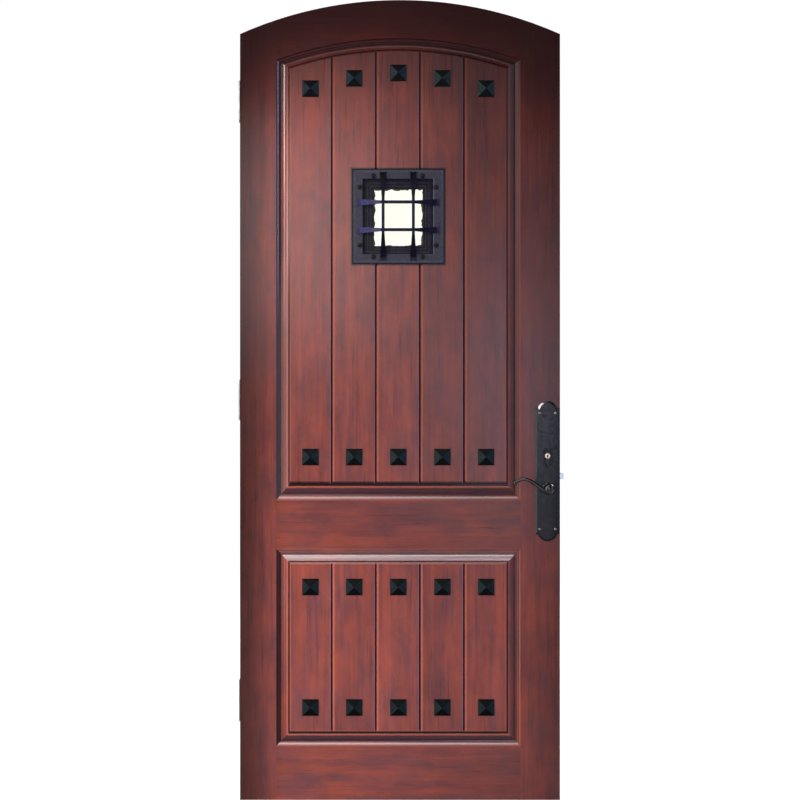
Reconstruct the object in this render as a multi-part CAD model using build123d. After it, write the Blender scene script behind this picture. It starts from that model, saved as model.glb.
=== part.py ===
from build123d import *
import os
from math import sqrt

# Arched entrance door leaf: stile-and-rail frame, two tongue-and-groove plank panels with
# planted mouldings, a barred viewing hatch, square nail heads, a mortise lock with lever
# handles on long plates, and three butt hinges.
# Millimetres. +X runs to the lock side, -Y is the outside face, +Z is up.
# The origin is the middle of the leaf's bottom edge.

# Leaf
LEAF_WIDTH = 914.4
LEAF_HEIGHT = 2286.0
LEAF_THICKNESS = 44.45
ARCH_RISE = 97.0
OPENING_WIDTH = 698.0
PANEL_X = -5.0
TOP_RAIL_FACE = 109.0
LOCK_RAIL_TOP = 856.5
LOCK_RAIL_BOTTOM = 718.0
BOTTOM_RAIL_TOP = 154.0
TENON_THICKNESS = 14.0
TENON_LENGTH = 45.0
TOP_TENON = (2145.0, 2190.0)
LOCK_TENON = (742.0, 822.0)
BOTTOM_TENON = (25.0, 125.0)

# Panels
SIDE_MOULDING = 39.0
ARCH_MOULDING = 35.0
UPPER_SILL_MOULDING = 47.5
LOWER_HEAD_MOULDING = 42.0
LOWER_SILL_MOULDING = 41.0
PLANK_PITCH = 126.0
PLANK_THICKNESS = 38.0
CORE_THICKNESS = 14.0
CORE_REACH = 11.0
GROOVE_DEPTH = 12.0
V_GROOVE = 5.0
FIELD_BEVEL = 2.5
TONGUE_LENGTH = 8.0
TONGUE_THICKNESS = 6.0
TONGUE_CLEARANCE = 0.1

# Nail heads, as (x, z) rows on the outside face
NAIL_HEAD = 47.0
NAIL_LIP = 2.0
NAIL_HEIGHT = 14.0
NAIL_SHANK_RADIUS = 3.0
NAIL_SHANK_LENGTH = 14.0
NAIL_ARCH_ROW = (2033.0, 2062.5, 2078.0, 2062.5, 2033.0)
NAIL_ROWS = (980.0, 608.5, 264.0)
NAIL_OUTER_X = 251.0

# Viewing hatch
HATCH_Z = 1667.5
GRILLE_PLATE = (264.0, 272.0)
GRILLE_OPENING = (200.0, 216.0)
GRILLE_THICKNESS = 6.0
GRILLE_BEVEL = 2.5
SLEEVE_INNER = (204.0, 220.0)
SLEEVE_WALL = 3.0
CUTOUT_CLEARANCE = 1.0
SASH_STOP = 6.0
SASH_STOP_BACK = 8.7
SASH_STOP_THICKNESS = 3.0
SASH_SIZE = (200.0, 216.0)
SASH_SIGHT = (142.0, 165.0)
SASH_FRONT = 9.0
SASH_BACK = 22.0
SASH_STEPS = (17.0, 8.0)
SASH_LIP = 2.5
GLASS_MARGIN = 6.0
GLASS_THICKNESS = 4.0
SASH_AXIS = (-105.0, 29.5)
SASH_KNUCKLE_RADIUS = 4.0
SASH_PIN_RADIUS = 2.0
SASH_HINGE_Z = 66.0
SASH_KNUCKLE_HEIGHT = 14.0
SASH_KNOB_X = 86.0

# Grille bars
BAR_THICKNESS = 8.0
BAR_MIDDLE_WIDTH = 8.5
BAR_END_WIDTH = 18.0
BAR_FOOT_WIDTH = 23.0
BAR_FOOT_LENGTH = 10.0
BAR_PITCH_X = 86.0
BAR_PITCH_Z = 79.0
CROSSBAR_CENTRE_Y = -42.0
UPRIGHT_CENTRE_Y = -50.0
RIVET_HEAD_RADIUS = 5.5
RIVET_HEAD_HEIGHT = 4.0
RIVET_SHANK_RADIUS = 2.0
RIVET_SHANK_LENGTH = 18.0
RIVET_TOP = (70.0, 116.0)
RIVET_SIDE = (109.0, 83.0)

# Lock and handles
BACKSET = 36.0
SPINDLE_Z = 891.5
CYLINDER_Z = 983.5
PLATE_WIDTH = 70.0
PLATE_HEIGHT = 400.0
PLATE_CENTRE_Z = 940.0
PLATE_SHOULDER = 18.5
PLATE_DOME_HALF = 27.0
PLATE_THICKNESS = 5.0
PLATE_BEVEL = 3.0
PLATE_BEVEL_TAPER = 61.0
PLATE_SCREW_X = 22.3
PLATE_SCREW_Z = 165.5
BOSS_SIZE = (21.5, 52.0)
BOSS_HEIGHT = 3.0
BOSS_DROP = 5.5
LEVER_PROJECTION = 48.0
LEVER_NECK_RADIUS = 10.0
LEVER_HUB_RADIUS = 15.5
# Stations of the lever arm from the hub: reach, rise, section radius
LEVER_STATIONS = (
    (6.0, -3.0, 7.6),
    (15.0, -2.6, 6.6),
    (27.0, 5.0, 5.5),
    (40.0, 15.0, 4.9),
    (54.0, 23.5, 4.7),
    (69.0, 27.0, 4.7),
    (83.0, 24.0, 4.9),
    (94.0, 17.5, 5.8),
)
LEVER_TIP_RADIUS = 6.6
SPINDLE_SIZE = 8.0
FOLLOWER_RADIUS = 9.9
CASE_DEPTH = 51.0
CASE_THICKNESS = 15.0
CASE_WALL = 1.25
CASE_Z = (842.0, 1040.0)
FACEPLATE_WIDTH = 22.0
FACEPLATE_THICKNESS = 3.0
FACEPLATE_Z = (815.0, 1067.0)
FACEPLATE_SCREW_MARGIN = 12.0
LATCH_Z = 925.0
LATCH_SIZE = (11.0, 18.0)
LATCH_BACK = 32.0
LATCH_THROW = 12.0
BOLT_Z = 1011.0
BOLT_SIZE = (11.0, 27.0)
BOLT_LENGTH = 44.0
BOLT_SLIDE_CLEARANCE = 0.3
CYLINDER_RADIUS = 8.5
CYLINDER_TAIL = 24.5
CYLINDER_TAIL_WIDTH = 10.0
CYLINDER_REACH = 30.5
PLUG_RADIUS = 7.2
PLUG_CLEARANCE = 0.05
CAM_HALF = 4.0
CAM_NOSE = 12.5
KEYWAY = (2.2, 8.5, 18.0)

# Butt hinges
HINGE_HEIGHT = 114.3
HINGE_CENTRES = (280.0, 1142.0, 2000.0)
HINGE_LEAF_THICKNESS = 3.0
HINGE_GAP = 1.6
HINGE_BACKSET = 6.4
HINGE_BARREL_RADIUS = 6.5
HINGE_PIN_RADIUS = 3.5
HINGE_PIN_CLEARANCE = 0.05
HINGE_AXIS_OFFSET = 6.8
HINGE_KNUCKLES = 5
HINGE_KNUCKLE_GAP = 0.4
HINGE_SWING_CLEARANCE = 0.5
HINGE_OUTER_HOLE = (-5.0, 45.0)
HINGE_INNER_HOLE = (8.0, 17.5)

# Wood screws of the hinges and the lock's faceplate
SCREW_RADIUS = 2.7
SCREW_HOLE_RADIUS = 2.9
SCREW_HEAD_RADIUS = 5.2
SCREW_LENGTH = 28.0

# Worked out from the driving dimensions
HALF_WIDTH = LEAF_WIDTH / 2
FACE = LEAF_THICKNESS / 2
OPEN_HALF = OPENING_WIDTH / 2
FIELD_HALF = OPEN_HALF - SIDE_MOULDING
FIELD_FACE = PLANK_THICKNESS / 2
CORE_FACE = CORE_THICKNESS / 2
ARCH_RADIUS = (HALF_WIDTH**2 + ARCH_RISE**2) / (2 * ARCH_RISE)
ARCH_CENTRE_Z = LEAF_HEIGHT - ARCH_RADIUS
INNER_RADIUS = ARCH_RADIUS - TOP_RAIL_FACE
FIELD_RADIUS = INNER_RADIUS - ARCH_MOULDING
SPINDLE_X = HALF_WIDTH - BACKSET
HINGE_X = -HALF_WIDTH - HINGE_GAP / 2
HINGE_Y = FACE + HINGE_AXIS_OFFSET
UPPER_FIELD_BOTTOM = LOCK_RAIL_TOP + UPPER_SILL_MOULDING
LOWER_FIELD_BOTTOM = BOTTOM_RAIL_TOP + LOWER_SILL_MOULDING
LOWER_FIELD_TOP = LOCK_RAIL_BOTTOM - LOWER_HEAD_MOULDING
JOINTS_X = tuple(PLANK_PITCH * (i - 1.5) for i in range(4))
NAIL_X = (-NAIL_OUTER_X, -PLANK_PITCH, 0.0, PLANK_PITCH, NAIL_OUTER_X)
PLATE_FACE = FACE + PLATE_THICKNESS
GRILLE_FACE = FIELD_FACE + GRILLE_THICKNESS


def block(x, y, z):
    """A box between the given low and high x, y and z."""
    size = Box(x[1] - x[0], y[1] - y[0], z[1] - z[0])
    return Pos((x[0] + x[1]) / 2, (y[0] + y[1]) / 2, (z[0] + z[1]) / 2) * size


def rod(axis, radius, start, length):
    """A cylinder from start along the given axis letter."""
    turn = {"x": Rot(0, 90, 0), "y": Rot(-90, 0, 0), "z": Rot(0, 0, 0)}[axis]
    shift = {"x": (length / 2, 0, 0), "y": (0, length / 2, 0), "z": (0, 0, length / 2)}[axis]
    place = Pos(*start) * Pos(*shift)
    return place * turn * Cylinder(radius, length)


def upright(face, y):
    """A face drawn in x and z, given the thickness between the low and high y."""
    return extrude(Plane.XZ.offset(-y[1]) * face, y[1] - y[0])


def polygon(points):
    return make_face(Polyline(*points, close=True))


def arch_disc(radius):
    """A disc as thick as the leaf and more, about the arch's centre."""
    return Pos(0, 0, ARCH_CENTRE_Z) * Rot(90, 0, 0) * Cylinder(radius, 4 * LEAF_THICKNESS)


def arch_z(x, radius):
    return ARCH_CENTRE_Z + sqrt(radius**2 - x**2)


def both_faces(solid):
    return solid + mirror(solid, about=Plane.XZ)


# Stile-and-rail frame


def leaf_blank():
    """The leaf's whole outline, placed about the middle of its panels."""
    side = ARCH_CENTRE_Z + sqrt(ARCH_RADIUS**2 - HALF_WIDTH**2)
    edges = [
        Line((-HALF_WIDTH, side), (-HALF_WIDTH, 0)),
        Line((-HALF_WIDTH, 0), (HALF_WIDTH, 0)),
        Line((HALF_WIDTH, 0), (HALF_WIDTH, side)),
        ThreePointArc((HALF_WIDTH, side), (0, LEAF_HEIGHT), (-HALF_WIDTH, side)),
    ]
    return Pos(-PANEL_X, 0, 0) * upright(make_face(edges), (-FACE, FACE))


def upper_core(reach):
    """The upper panel's core, reaching past its opening into the frame's grooves."""
    half = OPEN_HALF + reach
    tall = block((-half, half), (-CORE_FACE, CORE_FACE), (LOCK_RAIL_TOP - reach, LEAF_HEIGHT))
    return tall & arch_disc(INNER_RADIUS + reach)


def lower_core(reach):
    half = OPEN_HALF + reach
    bottom, top = BOTTOM_RAIL_TOP - reach, LOCK_RAIL_BOTTOM + reach
    return block((-half, half), (-CORE_FACE, CORE_FACE), (bottom, top))


def tenons(z):
    reach = OPEN_HALF + TENON_LENGTH
    return block((-reach, reach), (-TENON_THICKNESS / 2, TENON_THICKNESS / 2), z)


def frame_pieces():
    blank = leaf_blank()
    panels = upper_core(GROOVE_DEPTH) + lower_core(GROOVE_DEPTH)
    middle = (-OPEN_HALF, OPEN_HALF)
    deep = (-FACE, FACE)
    head = blank & block(middle, deep, (LEAF_HEIGHT / 2, LEAF_HEIGHT))
    top_rail = head - arch_disc(INNER_RADIUS) + tenons(TOP_TENON)
    lock_rail = block(middle, deep, (LOCK_RAIL_BOTTOM, LOCK_RAIL_TOP)) + tenons(LOCK_TENON)
    bottom_rail = block(middle, deep, (0, BOTTOM_RAIL_TOP)) + tenons(BOTTOM_TENON)
    sockets = tenons(TOP_TENON) + tenons(LOCK_TENON) + tenons(BOTTOM_TENON)
    stile = blank - block(middle, deep, (0, LEAF_HEIGHT)) - panels - sockets
    hinge_stile = stile & block((-LEAF_WIDTH, 0), deep, (0, LEAF_HEIGHT))
    lock_stile = stile & block((0, LEAF_WIDTH), deep, (0, LEAF_HEIGHT))
    return {
        "hinge_stile": hinge_stile,
        "lock_stile": lock_stile,
        "top_rail": top_rail - panels,
        "lock_rail": lock_rail - panels,
        "bottom_rail": bottom_rail - panels,
    }


# Plank panels


def hatch_window(size, y):
    """A block as wide and tall as the given size, about the hatch's centre."""
    x = (-size[0] / 2, size[0] / 2)
    return block(x, y, (HATCH_Z - size[1] / 2, HATCH_Z + size[1] / 2))


def v_groove(x):
    """The cutter of the V between two planks, on both faces of the panel."""
    points = ((x - V_GROOVE, -FIELD_FACE), (x + V_GROOVE, -FIELD_FACE), (x, V_GROOVE - FIELD_FACE))
    return both_faces(extrude(polygon(points), LEAF_HEIGHT))


def side_bevel(side):
    edge = side * FIELD_HALF
    inner = side * (FIELD_HALF - FIELD_BEVEL)
    points = ((edge, -FIELD_FACE), (inner, -FIELD_FACE), (edge, FIELD_BEVEL - FIELD_FACE))
    return both_faces(extrude(polygon(points), LEAF_HEIGHT))


def end_bevel(z, inward):
    """The cutter of the bevel along a straight end of the planks."""
    plane = Plane(origin=(-OPEN_HALF, 0, 0), x_dir=(0, 1, 0), z_dir=(1, 0, 0))
    points = (
        (-FIELD_FACE, z),
        (-FIELD_FACE, z + inward * FIELD_BEVEL),
        (FIELD_BEVEL - FIELD_FACE, z),
    )
    return both_faces(extrude(plane * polygon(points), 2 * OPEN_HALF))


def arch_bevel():
    """The cutter of the bevel along the arched end of the planks."""
    axis = Axis((0, 0, ARCH_CENTRE_Z), (0, 1, 0))
    points = (
        (-FIELD_FACE, ARCH_CENTRE_Z + FIELD_RADIUS),
        (-FIELD_FACE, ARCH_CENTRE_Z + FIELD_RADIUS - FIELD_BEVEL),
        (FIELD_BEVEL - FIELD_FACE, ARCH_CENTRE_Z + FIELD_RADIUS),
    )
    return both_faces(revolve(Plane.YZ * polygon(points), axis, 360))


def panel_planks(field, core, core_top):
    """Five boards with tongues and grooves, cut from the panel's field and core."""
    panel = field + core
    reach = OPEN_HALF + CORE_REACH
    edges = (-reach, *JOINTS_X, reach)
    planks = []
    for low, high in zip(edges, edges[1:]):
        plank = panel & block((low, high), (-FACE, FACE), (0, LEAF_HEIGHT))
        bottom = core.bounding_box().min.Z
        half = TONGUE_THICKNESS / 2
        if high < reach:
            tongue = block((high, high + TONGUE_LENGTH), (-half, half), (bottom, core_top))
            plank += tongue
        if low > -reach:
            wide = half + TONGUE_CLEARANCE
            slot = (low, low + TONGUE_LENGTH + TONGUE_CLEARANCE)
            plank -= block(slot, (-wide, wide), (bottom, LEAF_HEIGHT))
        planks.append(plank)
    return planks


def upper_planks():
    grooves = [v_groove(x) for x in JOINTS_X]
    deep = (-FIELD_FACE, FIELD_FACE)
    tall = block((-FIELD_HALF, FIELD_HALF), deep, (UPPER_FIELD_BOTTOM, LEAF_HEIGHT))
    field = tall & arch_disc(FIELD_RADIUS)
    field -= [*grooves, side_bevel(-1), side_bevel(1), end_bevel(UPPER_FIELD_BOTTOM, 1), arch_bevel()]
    tongue_top = arch_z(OPEN_HALF - SIDE_MOULDING, FIELD_RADIUS)
    planks = panel_planks(field, upper_core(CORE_REACH), tongue_top)
    clear = 2 * (SLEEVE_WALL + CUTOUT_CLEARANCE)
    cutout = (SLEEVE_INNER[0] + clear, SLEEVE_INNER[1] + clear)
    return [plank - hatch_window(cutout, (-FACE, FACE)) for plank in planks]


def lower_planks():
    grooves = [v_groove(x) for x in JOINTS_X]
    deep = (-FIELD_FACE, FIELD_FACE)
    field = block((-FIELD_HALF, FIELD_HALF), deep, (LOWER_FIELD_BOTTOM, LOWER_FIELD_TOP))
    bevels = [end_bevel(LOWER_FIELD_BOTTOM, 1), end_bevel(LOWER_FIELD_TOP, -1)]
    field -= [*grooves, side_bevel(-1), side_bevel(1), *bevels]
    return panel_planks(field, lower_core(CORE_REACH), LOCK_RAIL_BOTTOM + CORE_REACH)


# Planted mouldings


def moulding_profile(width):
    """The section from the frame's edge inwards: hollow slope, rising ovolo, fillet and quirk."""
    back = CORE_FACE - FACE
    arris = (0.03 * width, -1.4)
    valley = (0.38 * width, -9.6)
    crest = (0.79 * width, -3.8)
    shelf = (0.90 * width, -3.8)
    quirk = (0.93 * width, -7.5)
    lip = (width, -7.5)
    edges = [
        Line((0, back), (0, 0)),
        Line((0, 0), arris),
        ThreePointArc(arris, (0.17 * width, -6.6), valley),
        ThreePointArc(valley, (0.57 * width, -5.2), crest),
        Line(crest, shelf),
        Line(shelf, quirk),
        Line(quirk, lip),
        Line(lip, (width, back)),
        Line((width, back), (0, back)),
    ]
    return make_face(edges)


def straight_moulding(start, inward, width, outline):
    """A front moulding whose outer edge passes start, mitred to the outline in x and z."""
    outward = Vector(0, -1, 0)
    towards = Vector(*inward)
    plane = Plane(origin=start, x_dir=towards, z_dir=towards.cross(outward))
    bar = extrude(plane * moulding_profile(width), 2 * LEAF_HEIGHT, both=True)
    return bar & upright(polygon(outline), (-FACE, -CORE_FACE))


def arched_moulding(outline):
    outward = Vector(0, -1, 0)
    towards = Vector(0, 0, -1)
    start = (0, -FACE, ARCH_CENTRE_Z + INNER_RADIUS)
    plane = Plane(origin=start, x_dir=towards, z_dir=towards.cross(outward))
    axis = Axis((0, 0, ARCH_CENTRE_Z), (0, 1, 0))
    ring = revolve(plane * moulding_profile(ARCH_MOULDING), axis, 360)
    return ring & upright(polygon(outline), (-FACE, -CORE_FACE))


def mouldings():
    """The four mitred lengths round each panel, on the outside and the inside face."""
    low_out, low_in = LOCK_RAIL_TOP, UPPER_FIELD_BOTTOM
    top_out, top_in = arch_z(OPEN_HALF, INNER_RADIUS), arch_z(FIELD_HALF, FIELD_RADIUS)
    above = LEAF_HEIGHT
    upper_side = ((-OPEN_HALF, low_out), (-FIELD_HALF, low_in), (-FIELD_HALF, top_in), (-OPEN_HALF, top_out))
    upper_sill = ((-OPEN_HALF, low_out), (OPEN_HALF, low_out), (FIELD_HALF, low_in), (-FIELD_HALF, low_in))
    upper_head = (
        (-FIELD_HALF, top_in),
        (FIELD_HALF, top_in),
        (OPEN_HALF, top_out),
        (OPEN_HALF, above),
        (-OPEN_HALF, above),
        (-OPEN_HALF, top_out),
    )
    base_out, base_in = BOTTOM_RAIL_TOP, LOWER_FIELD_BOTTOM
    cap_out, cap_in = LOCK_RAIL_BOTTOM, LOWER_FIELD_TOP
    lower_side = ((-OPEN_HALF, base_out), (-FIELD_HALF, base_in), (-FIELD_HALF, cap_in), (-OPEN_HALF, cap_out))
    lower_sill = ((-OPEN_HALF, base_out), (OPEN_HALF, base_out), (FIELD_HALF, base_in), (-FIELD_HALF, base_in))
    lower_head = ((-OPEN_HALF, cap_out), (OPEN_HALF, cap_out), (FIELD_HALF, cap_in), (-FIELD_HALF, cap_in))
    side_start = (-OPEN_HALF, -FACE, 0)
    upper_left = straight_moulding(side_start, (1, 0, 0), SIDE_MOULDING, upper_side)
    lower_left = straight_moulding(side_start, (1, 0, 0), SIDE_MOULDING, lower_side)
    pieces = {
        "upper_left": upper_left,
        "upper_right": mirror(upper_left, about=Plane.YZ),
        "upper_sill": straight_moulding((0, -FACE, low_out), (0, 0, 1), UPPER_SILL_MOULDING, upper_sill),
        "upper_head": arched_moulding(upper_head),
        "lower_left": lower_left,
        "lower_right": mirror(lower_left, about=Plane.YZ),
        "lower_sill": straight_moulding((0, -FACE, base_out), (0, 0, 1), LOWER_SILL_MOULDING, lower_sill),
        "lower_head": straight_moulding((0, -FACE, cap_out), (0, 0, -1), LOWER_HEAD_MOULDING, lower_head),
    }
    outside = {f"outside_moulding_{name}": piece for name, piece in pieces.items()}
    inside = {f"inside_moulding_{name}": mirror(piece, about=Plane.XZ) for name, piece in pieces.items()}
    return {**outside, **inside}


# Square nail heads


def nail_places():
    rows = [list(zip(NAIL_X, NAIL_ARCH_ROW))]
    rows += [[(x, z) for x in NAIL_X] for z in NAIL_ROWS]
    return [place for row in rows for place in row]


def square_nail(x, z):
    face = -FIELD_FACE
    half = NAIL_HEAD / 2
    lip = block((x - half, x + half), (face - NAIL_LIP, face), (z - half, z + half))
    base = Plane(origin=(x, face - NAIL_LIP, z), x_dir=(1, 0, 0), z_dir=(0, -1, 0))
    rise = NAIL_HEIGHT - NAIL_LIP
    point = 0.6
    pyramid = loft([base * Rectangle(NAIL_HEAD, NAIL_HEAD), base.offset(rise) * Rectangle(point, point)])
    return lip + pyramid + nail_shank(x, z)


def nail_shank(x, z):
    return rod("y", NAIL_SHANK_RADIUS, (x, -FIELD_FACE, z), NAIL_SHANK_LENGTH)


# Viewing hatch


def ring(outer, inner, y):
    return hatch_window(outer, y) - hatch_window(inner, y)


def grown(size, margin):
    return (size[0] + 2 * margin, size[1] + 2 * margin)


def grille_plate():
    body = ring(GRILLE_PLATE, GRILLE_OPENING, (-GRILLE_FACE, -FIELD_FACE))
    front = body.edges().filter_by(lambda e: abs(e.center().Y + GRILLE_FACE) < 0.01)
    return chamfer(front, GRILLE_BEVEL)


def bar_side(reach, centre):
    """A bar's bowed side, in reach along the bar and y, as a band of even thickness."""
    half = BAR_THICKNESS / 2
    foot = -GRILLE_FACE
    bend = 0.42 * reach
    toe = reach - BAR_FOOT_LENGTH
    points = (
        (-reach, foot),
        (-reach, foot - half),
        (-toe, foot - half),
        (-bend, centre - half),
        (bend, centre - half),
        (toe, foot - half),
        (reach, foot - half),
        (reach, foot),
        (toe - half, foot),
        (bend - half / 2, centre + half),
        (half / 2 - bend, centre + half),
        (half - toe, foot),
    )
    return polygon(points)


def bar_front(reach):
    """A bar's front outline: a slim middle, tapered ends and a fish-tail foot at each end."""
    middle, end, foot = BAR_MIDDLE_WIDTH / 2, BAR_END_WIDTH / 2, BAR_FOOT_WIDTH / 2
    toe = reach - BAR_FOOT_LENGTH
    bend = 0.42 * reach
    waist = (toe + 3, 0.8 * end)
    right = [(toe, end), waist, (reach, foot), (reach - 3, 0), (reach, -foot), (waist[0], -waist[1]), (toe, -end)]
    left = [(-x, -y) for x, y in right]
    return polygon([(-bend, middle), (bend, middle), *right, (bend, -middle), (-bend, -middle), *left])


def upright_bar(x):
    reach = GRILLE_PLATE[1] / 2 - 8.0
    side = Plane(origin=(0, 0, HATCH_Z), x_dir=(0, 0, 1), z_dir=(-1, 0, 0))
    band = extrude(side * bar_side(reach, UPRIGHT_CENTRE_Y), BAR_FOOT_WIDTH, both=True)
    front = Plane(origin=(0, 0, HATCH_Z), x_dir=(0, 0, 1), z_dir=(0, -1, 0))
    shape = band & extrude(front * bar_front(reach), 4 * FACE)
    return Pos(x, 0, 0) * shape - bar_rivet_holes()


def cross_bar(z):
    reach = GRILLE_PLATE[0] / 2 - 13.0
    side = Plane(origin=(0, 0, 0), x_dir=(1, 0, 0), z_dir=(0, 0, 1))
    band = extrude(side * bar_side(reach, CROSSBAR_CENTRE_Y), BAR_FOOT_WIDTH, both=True)
    front = Plane(origin=(0, 0, 0), x_dir=(1, 0, 0), z_dir=(0, -1, 0))
    shape = band & extrude(front * bar_front(reach), 4 * FACE)
    return Pos(0, 0, z) * shape - bar_rivet_holes()


def crossings():
    xs, zs = (-BAR_PITCH_X / 2, BAR_PITCH_X / 2), (HATCH_Z - BAR_PITCH_Z / 2, HATCH_Z + BAR_PITCH_Z / 2)
    return [(x, z) for x in xs for z in zs]


def bar_rivet_holes():
    back = CROSSBAR_CENTRE_Y + BAR_THICKNESS / 2
    front = UPRIGHT_CENTRE_Y - BAR_THICKNESS / 2
    rods = [rod("y", RIVET_SHANK_RADIUS, (x, front, z), back - front) for x, z in crossings()]
    return Part() + rods


def domed_head(x, z, face, radius, height):
    """A rivet's head, a cap of a sphere that stands out from the given face."""
    ball = (radius**2 + height**2) / (2 * height)
    sphere = Pos(x, face + ball - height, z) * Sphere(ball)
    return sphere & block((x - 2 * ball, x + 2 * ball), (face - height, face), (z - 2 * ball, z + 2 * ball))


def plate_rivet_places():
    tops = [(sx * RIVET_TOP[0], sz * RIVET_TOP[1]) for sx in (-1, 1) for sz in (-1, 1)]
    sides = [(sx * RIVET_SIDE[0], sz * RIVET_SIDE[1]) for sx in (-1, 1) for sz in (-1, 1)]
    return [(x, HATCH_Z + z) for x, z in tops + sides]


def plate_rivet_shank(x, z):
    return rod("y", RIVET_SHANK_RADIUS, (x, -GRILLE_FACE, z), RIVET_SHANK_LENGTH)


def plate_rivets():
    heads = [domed_head(x, z, -GRILLE_FACE, RIVET_HEAD_RADIUS, RIVET_HEAD_HEIGHT) for x, z in plate_rivet_places()]
    shanks = [plate_rivet_shank(x, z) for x, z in plate_rivet_places()]
    return [head + shank for head, shank in zip(heads, shanks)]


def crossing_rivets():
    back = CROSSBAR_CENTRE_Y + BAR_THICKNESS / 2
    front = UPRIGHT_CENTRE_Y - BAR_THICKNESS / 2
    rivets = []
    for x, z in crossings():
        head = domed_head(x, z, front, 3.6, 2.4)
        rivets.append(head + rod("y", RIVET_SHANK_RADIUS, (x, front, z), back - front))
    return rivets


def sash_knuckle(place, radius, height):
    x, y = SASH_AXIS
    return rod("z", radius, (x, y, place), height)


def sash_hinge_levels():
    """The low ends of the frame's two knuckles and the sash's knuckle at each hinge."""
    middle = SASH_KNUCKLE_HEIGHT / 2
    for level in (HATCH_Z - SASH_HINGE_Z, HATCH_Z + SASH_HINGE_Z):
        gap = 0.3
        yield level - 3 * middle, level - middle + gap, level + middle


def hatch_back_frame():
    """The inside trim with its sleeve through the leaf, the sash's stop and hinge knuckles."""
    trim = ring(GRILLE_PLATE, SLEEVE_INNER, (FIELD_FACE, GRILLE_FACE))
    rim = trim.edges().filter_by(lambda e: abs(e.center().Y - GRILLE_FACE) < 0.01)
    outer = [e for e in rim if max(abs(e.center().X), abs(e.center().Z - HATCH_Z)) > SLEEVE_INNER[1] / 2 + 5]
    frame = chamfer(outer, GRILLE_BEVEL)
    frame += ring(grown(SLEEVE_INNER, SLEEVE_WALL), SLEEVE_INNER, (-FIELD_FACE, FIELD_FACE))
    stop = (SASH_STOP_BACK - SASH_STOP_THICKNESS, SASH_STOP_BACK)
    frame += ring(SLEEVE_INNER, grown(SLEEVE_INNER, -SASH_STOP - 2), stop)
    x, y = SASH_AXIS
    for low, _, high in sash_hinge_levels():
        for start in (low, high):
            ear = block((x - 9, x), (GRILLE_FACE, y + 1), (start, start + SASH_KNUCKLE_HEIGHT))
            frame += ear + sash_knuckle(start, SASH_KNUCKLE_RADIUS, SASH_KNUCKLE_HEIGHT)
    return frame - sash_pin_bores()


def sash_pin_bores():
    full = 3 * SASH_KNUCKLE_HEIGHT
    bores = [sash_knuckle(low, SASH_PIN_RADIUS + 0.05, full) for low, _, _ in sash_hinge_levels()]
    return Part() + bores


def sash_pins():
    full = 3 * SASH_KNUCKLE_HEIGHT
    pins = []
    for low, _, _ in sash_hinge_levels():
        pin = sash_knuckle(low, SASH_PIN_RADIUS, full)
        pins.append(pin + sash_knuckle(low + full, SASH_PIN_RADIUS + 1.4, 1.6))
    return pins


def sash_frame():
    body = ring(SASH_SIZE, SASH_SIGHT, (SASH_FRONT, SASH_BACK))
    for i, step in enumerate(SASH_STEPS):
        body -= hatch_window(grown(SASH_SIGHT, step), (SASH_FRONT, SASH_FRONT + (i + 1) * SASH_LIP))
    rebate = grown(SASH_SIGHT, GLASS_MARGIN)
    glass_front = SASH_FRONT + 3 * SASH_LIP
    body -= hatch_window(rebate, (glass_front, glass_front + GLASS_THICKNESS))
    body -= ring(grown(rebate, -2), SASH_SIGHT, (glass_front + GLASS_THICKNESS, SASH_BACK))
    x, y = SASH_AXIS
    gap = 0.3
    for _, start, _ in sash_hinge_levels():
        tall = SASH_KNUCKLE_HEIGHT - 2 * gap
        arm = block((x, x + 16), (GRILLE_FACE + 0.5, y + 1), (start, start + tall))
        arm += block((x + 5, x + 16), (SASH_BACK, y + 1), (start, start + tall))
        body += arm + sash_knuckle(start, SASH_KNUCKLE_RADIUS, tall)
    body -= sash_pin_bores()
    return body - rod("y", 3.0, (SASH_KNOB_X, SASH_BACK - 6, HATCH_Z), 6)


def sash_glass():
    front = SASH_FRONT + 3 * SASH_LIP
    return hatch_window(grown(SASH_SIGHT, GLASS_MARGIN - 0.5), (front, front + GLASS_THICKNESS))


def sash_knob():
    profile = ((0, -6), (3, -6), (3, 0), (6.5, 0), (6.5, 1.5), (3.5, 3), (3.5, 9), (8, 13), (8, 16), (5, 18.5), (0, 19))
    turned = revolve(polygon(profile), Axis.Y, 360)
    return Pos(SASH_KNOB_X, SASH_BACK, HATCH_Z) * turned


# Lock, plates and handles


def plate_outline():
    """A long plate with a dome between two small shoulders at each end."""
    half = PLATE_WIDTH / 2
    tall = PLATE_HEIGHT / 2
    shoulder = tall - PLATE_SHOULDER
    dome = PLATE_DOME_HALF
    notch = (dome, shoulder - 1.5)
    edges = []
    for up in (1, -1):
        edges += [
            Line((half, 0), (half, up * shoulder)),
            ThreePointArc((half, up * shoulder), (dome + 3.4, up * (shoulder - 2.4)), (notch[0], up * notch[1])),
            ThreePointArc((notch[0], up * notch[1]), (0, up * tall), (-notch[0], up * notch[1])),
            ThreePointArc((-notch[0], up * notch[1]), (-dome - 3.4, up * (shoulder - 2.4)), (-half, up * shoulder)),
            Line((-half, up * shoulder), (-half, 0)),
        ]
    return make_face(edges)


def outside_plane():
    """The outside face of the lock stile, drawn with x to the right and y up."""
    return Plane(origin=(SPINDLE_X, -FACE, PLATE_CENTRE_Z), x_dir=(1, 0, 0), z_dir=(0, -1, 0))


def plate_screw_places():
    return [(sx * PLATE_SCREW_X, sz * PLATE_SCREW_Z) for sx in (-1, 1) for sz in (-1, 1)]


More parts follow.
